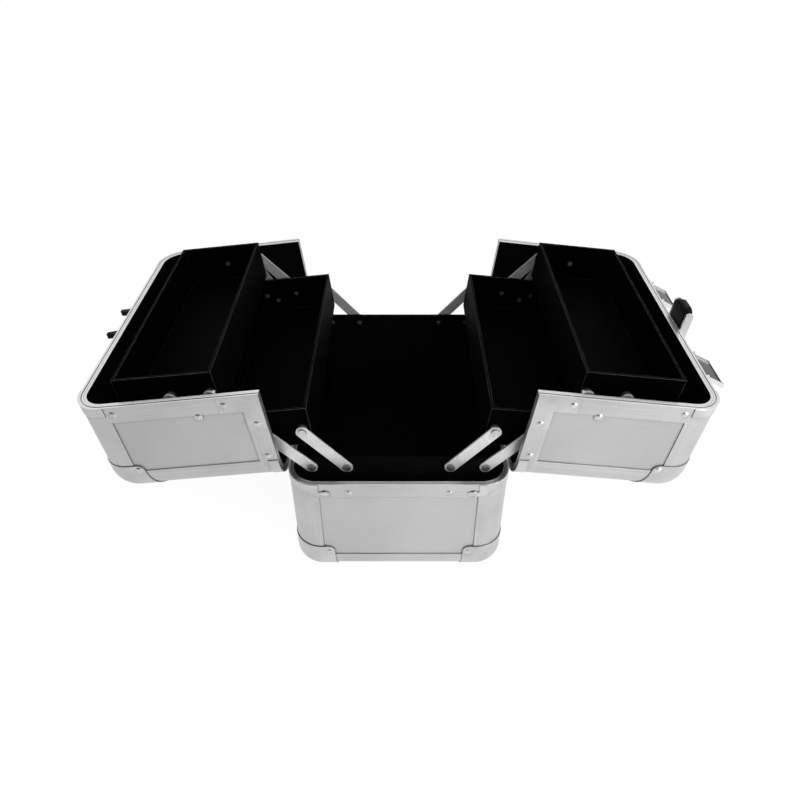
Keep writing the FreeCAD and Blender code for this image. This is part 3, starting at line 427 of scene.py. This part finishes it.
# Painted highlight: lighter along the convex top edges in patches, kept out of the inner corners.
tray_edge_highlight = place.edge(round_edge) * handled.band(0.2, 0.6, 0.35, 1.0) * (1 - place.crevice(tray_corner))
tone = handled * 0.1 + crease * 0.06 + tray_edge_highlight * 1.2
tone.band(0.12, 1.2).between(*HIDE_TONES).into(shader, "Base Color")
(handled * 0.15 + 0.55 - tray_edge_highlight * 0.2).into(shader, "Roughness")
place.bump(crease, CREASE_DEEP, 0.6, round_edge).into(shader, "Normal")
dress(leatherette, "left_lower_tray", "left_upper_tray", "right_lower_tray", "right_upper_tray")


# Link bars: flat zinc-plated steel with round ends, one set at the front and one at the back of each side.
# They turn on shouldered rivets. Their cut edges are painted bright as a highlight, and shade is painted
# dark in the crevices beside them.

ZINC_TONES = (0.22, 0.22, 0.222), (0.92, 0.92, 0.92)
BRUSH_STREAKS, BRUSH_DEEP = (1100, 30, 160), 0.00003
BAR_STAIN = 70
# The second number is the reach of the painted shade in the crevices.
bar_rounding, bar_shade_reach = 0.0008, 0.002

zinc, shader, place = new_finish("zinc_plate", Metallic=0.6)
round_edge = place.rounded(bar_rounding)
brushed = place.stretched(BRUSH_STREAKS).noise(1, 3)
stain = place.noise(BAR_STAIN, 4)
edge_highlight = place.edge(round_edge)
crevice_shade = place.crevice(bar_shade_reach)
# Painted light: edges lighter as a highlight, crevices darker as shade.
tone = brushed * 0.4 + stain * 0.4 + edge_highlight * 0.9 - crevice_shade * 0.4
tone.band(-0.15, 0.75).between(*ZINC_TONES).into(shader, "Base Color")
(stain * 0.14 + brushed * 0.1 + 0.24).into(shader, "Roughness")
place.bump(brushed, BRUSH_DEEP, 0.4, round_edge).into(shader, "Normal")
for hand in SIDES:
    dress(zinc, hand + "_long_arms", hand + "_short_arms", hand + "_upper_arms", hand + "_lid_links")


# Hinges: two on each long edge, pressed from plated steel strip. The leaves lie flat outside and the pins
# sit inside their knuckles. They have the same satin nickel as the caps.

for hand in SIDES:
    dress(nickel, hand + "_hinge_base_leaves", hand + "_hinge_lid_leaves", hand + "_hinge_pins")


# Latch plates and keepers: pressed and chromed steel. The plates with their cheeks are fixed to the right
# lid, and the keepers, over which the flaps snap, to the left lid.

CHROME_TONES = (0.6, 0.605, 0.61), (0.8, 0.805, 0.81)
POLISH_SMEAR = 30
CHROME_PITS, CHROME_DEEP = 1800, 0.00002
latch_rounding = 0.0003

chrome, shader, place = new_finish("bright_chrome", Metallic=1.0)
round_edge = place.rounded(latch_rounding)
smear = place.noise(POLISH_SMEAR, 4)
pit = place.noise(CHROME_PITS, 2)
smear.band(0.3, 0.7).between(*CHROME_TONES).into(shader, "Base Color")
(smear * 0.08 + pit * 0.03 + 0.05).into(shader, "Roughness")
place.bump(pit, CHROME_DEEP, 0.1, round_edge).into(shader, "Normal")
dress(chrome, "latch_plates", "latch_keepers")


# Latch flaps: two chromed steel levers, each on a pin between the cheeks of its plate. Their mirror look
# is painted: the colour is near black for the dark reflections, and the ends and edges are painted bright
# as highlights.

FLAP_TONES = (0.006, 0.006, 0.006), (0.78, 0.78, 0.78)
SCUFF_GRAIN, SCUFF_DEEP = 55, 0.0004
flap_rounding = 0.0004

painted_chrome_flap, shader, place = new_finish("flap_chrome_painted_reflections", Metallic=1.0)
round_edge = place.rounded(flap_rounding)
scuff = place.noise(SCUFF_GRAIN, 4)
# Painted reflections: faces near black, ends and edges painted bright as highlights.
end_face = abs(place.make("ShaderNodeTexCoord", out="Normal").axis("Y"))
flap_highlight = end_face.band(0.4, 0.8) + place.edge(round_edge) * 0.5
(flap_highlight * 0.9 + scuff * 0.03).band(0.02, 1.0).between(*FLAP_TONES).into(shader, "Base Color")
(scuff * 0.2 + 0.12).into(shader, "Roughness")
place.bump(scuff, SCUFF_DEEP, 0.3, round_edge).into(shader, "Normal")
dress(painted_chrome_flap, "front_latch_flap", "back_latch_flap")


# Carry handle: a moulded black grip with a pebbled skin between two plated side plates, which turn in
# plastic ears on the right lid. A horned plastic catch on the left lid takes the grip when the case is shut.

PLASTIC_TONES = (0.0008, 0.0008, 0.0009), (0.007, 0.007, 0.0072)
PEBBLE_GRAIN, PEBBLE_DEEP = 420, 0.0006
GRIP_SCUFF = 45

moulded, shader, place = new_finish("moulded_black", Specular_IOR_Level=0.07)
pebble = place.make("ShaderNodeTexVoronoi", {"feature": "SMOOTH_F1"},
                    {"Vector": place, "Scale": PEBBLE_GRAIN}, "Distance")
scuff = place.noise(GRIP_SCUFF, 4)
(pebble * 0.5 + scuff * 0.5).band(0.2, 0.8).between(*PLASTIC_TONES).into(shader, "Base Color")
(scuff * 0.2 + 0.3).into(shader, "Roughness")
place.bump(pebble, PEBBLE_DEEP, 0.9).into(shader, "Normal")
dress(moulded, "handle_ears", "carry_handle", "handle_catch")
dress(nickel, "handle_side_plates")


# Studio floor: a wide sheet of matt white paper, which takes the shadow of the case. The eye and the
# mirrors see it glow white, and the mirrors see it a little dimmer to the left.

PAPER_TONES = (0.84, 0.84, 0.84), (0.87, 0.87, 0.87)
FLECK_GRAIN = 140
floor_reach = 6
paper_glow, glow_share = 1.06, 0.88
dim_reach, dim_left, dim_right = 0.6, 0.2, -0.12


def seen_directly(tree):
    eye, mirror, glass = [Wire(tree).make("ShaderNodeLightPath", out="Is " + kind + " Ray")
                          for kind in ("Camera", "Glossy", "Transmission")]
    return eye + mirror + glass, mirror


paper, shader, place = new_finish("studio_paper", Roughness=0.9)
place.noise(FLECK_GRAIN, 3).band(0.3, 0.7).between(*PAPER_TONES).into(shader, "Base Color")
seen, mirror = seen_directly(paper.node_tree)
dimmed = place.axis("X").band(-dim_reach, dim_reach, dim_left, dim_right)
glow = place.make("ShaderNodeEmission", {}, {"Color": 1 - mirror * dimmed, "Strength": paper_glow})
matt = Wire(paper.node_tree, shader.outputs["BSDF"])
blend = place.make("ShaderNodeMixShader", {}, {0: seen * glow_share, 1: matt, 2: glow})
blend.into(paper.node_tree.nodes["Material Output"], "Surface")

floor_mesh = bpy.data.meshes.new("studio_floor")
floor_corners = [(x * floor_reach, y * floor_reach, 0) for x, y in ((-1, -1), (1, -1), (1, 1), (-1, 1))]
floor_mesh.from_pydata(floor_corners, [], [range(len(floor_corners))])
floor_mesh.materials.append(paper)
floor = bpy.data.objects.new("studio_floor", floor_mesh)
bpy.context.collection.objects.link(floor)


# Surround: an even white room. In mirrors the room is dark behind the camera and greyer low down on the
# left, which gives the rivets and the bright metal their dark streaks.

BEHIND_CAMERA, ABOVE_FLOOR, LOW_DOWN = (-0.15, -0.5), (0.0, 0.12), (0.05, 0.3)
ROOM_LEFT_TO_RIGHT, WALL_LEFT_TO_RIGHT = (-0.5, 0.8), (-0.6, 0.6)
room_dark_left, room_dark_right = 0.95, 0.5
wall_dark, wall_share_right = 0.35, 0.2
light_on_case = 0.5

surround = bpy.data.worlds.new("studio_surround")
surround.use_nodes = True
seen, mirror = seen_directly(surround.node_tree)
way = seen.make("ShaderNodeTexCoord", out="Generated")
dark_side = way.axis("X").band(*ROOM_LEFT_TO_RIGHT, room_dark_left, room_dark_right)
dark_room = way.axis("Y").band(*BEHIND_CAMERA) * way.axis("Z").band(*ABOVE_FLOOR) * dark_side
wall_side = way.axis("X").band(*WALL_LEFT_TO_RIGHT, 1.0, wall_share_right)
low_wall = way.axis("Z").band(*LOW_DOWN, wall_dark, 0.0) * wall_side
background = surround.node_tree.nodes["Background"]
background.inputs["Color"].default_value = (1, 1, 1, 1)
(seen.band(0, 1, light_on_case, 1) - mirror * dark_room.larger(low_wall)).into(background, "Strength")
bpy.context.scene.world = surround


# Lamps: a large soft box above the front, a smaller one to the right that also shows in the metal, and a
# weak narrow fill on the front of the base. All of them point at the foot of the case.

def soft_lamp(name, where, width, power, mirrored, spread=180):
    lamp = bpy.data.lights.new(name, "AREA")
    lamp.size = width
    lamp.energy = power
    lamp.spread = math.radians(spread)
    holder = bpy.data.objects.new(name, lamp)
    holder.location = where
    holder.visible_glossy = mirrored
    aim = -holder.location
    holder.rotation_euler = aim.to_track_quat("-Z", "Y").to_euler()
    bpy.context.collection.objects.link(holder)


soft_lamp("top_softbox", where=(0.5, -1.3, 1.7), width=1.6, power=20, mirrored=False)
soft_lamp("right_softbox", where=(0.95, -0.95, 0.5), width=0.8, power=6, mirrored=True)
soft_lamp("base_fill", where=(0.15, -1.0, 0.35), width=0.25, power=0.06, mirrored=False, spread=28)


# Camera: it stands in front of the case and looks down into it, at the place and with the lens that were
# fitted to the corners of the case in the photograph.

eye_point, look_tilt = (0.0014, -0.6663, 0.6591), math.radians(51.255)
sensor_width, focal_length = 36.0, 30.2175

lens = bpy.data.cameras.new("photo_camera")
lens.sensor_width = sensor_width
lens.lens = focal_length
camera = bpy.data.objects.new("photo_camera", lens)
camera.location = eye_point
camera.rotation_euler = (look_tilt, 0, 0)
bpy.context.collection.objects.link(camera)
bpy.context.scene.camera = camera
bpy.context.scene.view_settings.view_transform = "Standard"
